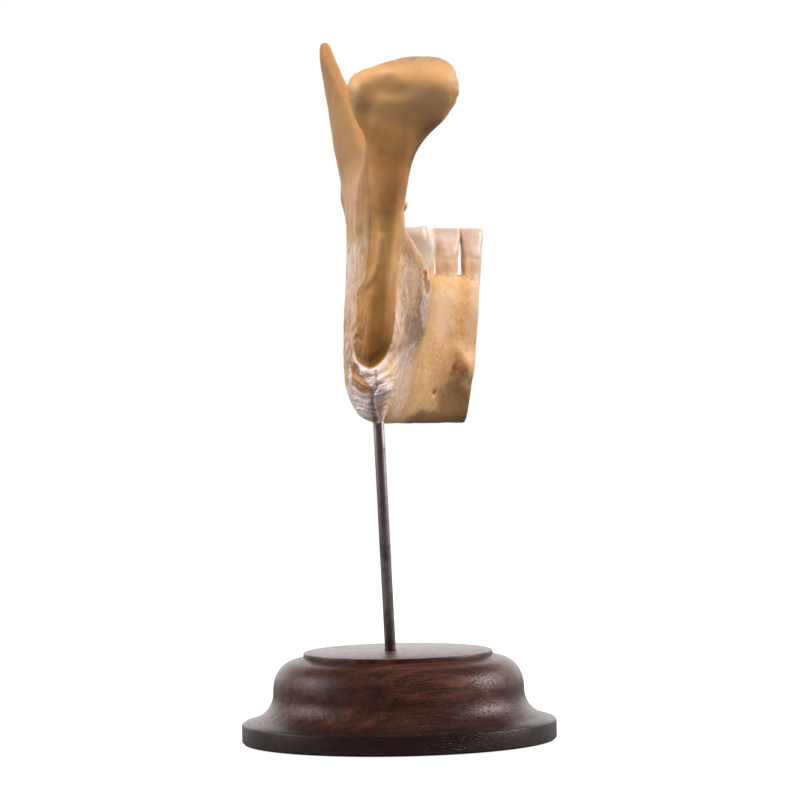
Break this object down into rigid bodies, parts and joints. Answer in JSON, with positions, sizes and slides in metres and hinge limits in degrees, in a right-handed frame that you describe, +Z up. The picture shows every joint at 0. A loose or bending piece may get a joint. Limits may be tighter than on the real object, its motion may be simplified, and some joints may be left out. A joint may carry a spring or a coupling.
{
  "type": "mounted human jawbone",
  "caption": "Left half of a human jawbone sawn at the midline, with worn teeth, standing on a thin steel rod in a round turned walnut base.",
  "frame": {"origin": "centre of the base's flat underside", "axes": "+Z up along the base's axis; +Y horizontal from the angle of the jaw towards the chin; +X horizontal towards the jaw's midline, so the saw cut faces +X and the cheek side faces -X"},
  "size_m": [0.0743, 0.1153, 0.1377],
  "materials": {
    "bone": "dry old bone, tan, lightly polished",
    "steel": "plain drawn steel rod",
    "walnut": "dark walnut, satin oiled"
  },
  "bodies": {
    "root": {"jawbone": "bone", "rod": "steel", "base": "walnut"}
  },
  "joints": []
}
